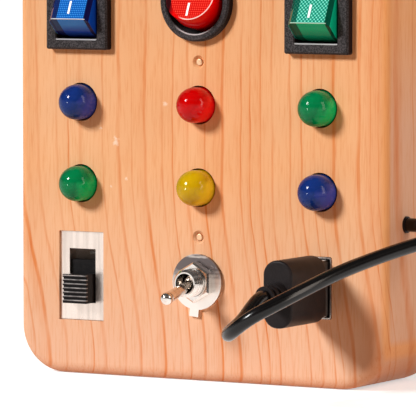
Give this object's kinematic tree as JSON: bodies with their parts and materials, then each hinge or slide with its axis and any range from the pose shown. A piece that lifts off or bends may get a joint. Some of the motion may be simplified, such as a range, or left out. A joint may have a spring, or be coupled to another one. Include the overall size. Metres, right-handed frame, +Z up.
{
  "type": "wooden busy board",
  "caption": "Palm-sized wooden busy board with rocker, slide and toggle switches, round coloured lamps, and a plug on a short black cord that fits a port in its face.",
  "frame": {"origin": "centre of the bottom face", "axes": "+Z up, front with the switches towards -Y, +X to the right as seen from the front"},
  "size_m": [0.1065, 0.0774, 0.103],
  "materials": {
    "beech": "oiled satin",
    "plywood": "sanded",
    "zinc_steel": "zinc plated",
    "black_plastic": "matte",
    "housing_black": "fine moulded texture",
    "white_plastic": "matte",
    "pin_nickel": "plain",
    "nickel_plate": "bright nickel plate",
    "cell_jacket": "printed sleeve",
    "blue_lens": "diffused epoxy",
    "red_lens": "diffused epoxy",
    "green_lens": "diffused epoxy",
    "yellow_lens": "diffused epoxy",
    "board_laminate": "bare laminate",
    "blue_rocker": "clear, ribbed inside",
    "red_rocker": "clear, ribbed inside",
    "green_rocker": "clear, ribbed inside",
    "brass_contact": "plain",
    "chrome": "bright",
    "red_phenolic": "moulded",
    "cord_plastic": "matte",
    "cord_jacket": "semi-gloss",
    "red_wire": "insulation",
    "black_wire": "insulation"
  },
  "bodies": {
    "case": {"wood_case": "beech", "back_cover": "plywood", "cover_screws": "zinc_steel", "battery_tray": "black_plastic", "front_pins": "pin_nickel", "batteries": "cell_jacket", "battery_springs": "nickel_plate", "battery_contacts": "nickel_plate", "upper_left_lamp": "blue_lens", "upper_middle_lamp": "red_lens", "upper_right_lamp": "green_lens", "lower_left_lamp": "green_lens", "lower_middle_lamp": "yellow_lens", "lower_right_lamp": "blue_lens", "lamp_leads": "nickel_plate", "lamp_board": "board_laminate", "blue_switch_housing": "housing_black", "blue_switch_terminals": "brass_contact", "red_switch_housing": "housing_black", "red_switch_terminals": "brass_contact", "green_switch_housing": "housing_black", "green_switch_terminals": "brass_contact", "slide_switch_frame": "nickel_plate", "slide_switch_base": "black_plastic", "slide_switch_screws": "zinc_steel", "slide_switch_terminals": "nickel_plate", "toggle_bushing": "chrome", "toggle_washer": "chrome", "toggle_nut": "chrome", "toggle_body": "red_phenolic", "toggle_terminals": "nickel_plate", "usb_port_shell": "nickel_plate", "usb_port_tongue": "black_plastic", "usb_port_contacts": "brass_contact", "usb_board": "board_laminate", "usb_board_screws": "zinc_steel", "usb_cord": "cord_jacket", "cord_grommet": "cord_plastic", "red_wires": "red_wire", "black_wires": "black_wire"},
    "blue_rocker_body": {"blue_rocker": "blue_rocker", "blue_plunger": "white_plastic"},
    "blue_bar_body": {"blue_contact_bar": "brass_contact"},
    "red_rocker_body": {"red_rocker": "red_rocker", "red_plunger": "white_plastic"},
    "red_bar_body": {"red_contact_bar": "brass_contact"},
    "green_rocker_body": {"green_rocker": "green_rocker", "green_plunger": "white_plastic"},
    "green_bar_body": {"green_contact_bar": "brass_contact"},
    "slider": {"slide_knob": "black_plastic", "slide_contact": "brass_contact"},
    "lever": {"toggle_lever": "chrome"},
    "toggle_bar": {"toggle_contact_bar": "brass_contact"},
    "plug": {"plug_shell": "nickel_plate", "plug_insulator": "white_plastic", "plug_contacts": "brass_contact", "plug_grip": "cord_plastic", "plug_boot": "cord_plastic"},
    "door": {"battery_door": "black_plastic", "door_screws": "zinc_steel"}
  },
  "joints": [
    {"name": "blue_rocker_tilt", "type": "hinge", "parent": "case", "child": "blue_rocker_body", "pos_m": [-0.0295, -0.012, 0.0815], "axis": [1, 0, 0], "range_deg": [0, 24]},
    {"name": "blue_bar_tilt", "type": "hinge", "parent": "case", "child": "blue_bar_body", "pos_m": [-0.0295, -0.006, 0.0815], "axis": [1, 0, 0], "range_deg": [-16, 0]},
    {"name": "red_rocker_tilt", "type": "hinge", "parent": "case", "child": "red_rocker_body", "pos_m": [0, -0.012, 0.0815], "axis": [1, 0, 0], "range_deg": [0, 24]},
    {"name": "red_bar_tilt", "type": "hinge", "parent": "case", "child": "red_bar_body", "pos_m": [0, -0.006, 0.0815], "axis": [1, 0, 0], "range_deg": [-16, 0]},
    {"name": "green_rocker_tilt", "type": "hinge", "parent": "case", "child": "green_rocker_body", "pos_m": [0.0295, -0.012, 0.0815], "axis": [1, 0, 0], "range_deg": [0, 24]},
    {"name": "green_bar_tilt", "type": "hinge", "parent": "case", "child": "green_bar_body", "pos_m": [0.0295, -0.006, 0.0815], "axis": [1, 0, 0], "range_deg": [-16, 0]},
    {"name": "slide_knob_travel", "type": "slide", "parent": "case", "child": "slider", "axis": [0, 0, 1], "range_m": [0, 0.0053]},
    {"name": "toggle_lever_tilt", "type": "hinge", "parent": "case", "child": "lever", "pos_m": [0, -0.0162, 0.0215], "axis": [-1, 0, 0], "range_deg": [0, 26]},
    {"name": "toggle_bar_tilt", "type": "hinge", "parent": "case", "child": "toggle_bar", "pos_m": [0, -0.008, 0.0215], "axis": [-1, 0, 0], "range_deg": [-14, 0]},
    {"name": "plug_pull", "type": "slide", "parent": "case", "child": "plug", "axis": [0, -1, 0], "range_m": [0, 0.01], "deforming": ["usb_cord"]},
    {"name": "battery_door_lift", "type": "slide", "parent": "case", "child": "door", "axis": [0, 1, 0], "range_m": [0, 0.02]}
  ],
  "couplings": [
    {"joint": "blue_bar_tilt", "follows": "blue_rocker_tilt", "ratio": -0.66667},
    {"joint": "red_bar_tilt", "follows": "red_rocker_tilt", "ratio": -0.66667},
    {"joint": "green_bar_tilt", "follows": "green_rocker_tilt", "ratio": -0.66667},
    {"joint": "toggle_bar_tilt", "follows": "toggle_lever_tilt", "ratio": -0.53846}
  ]
}
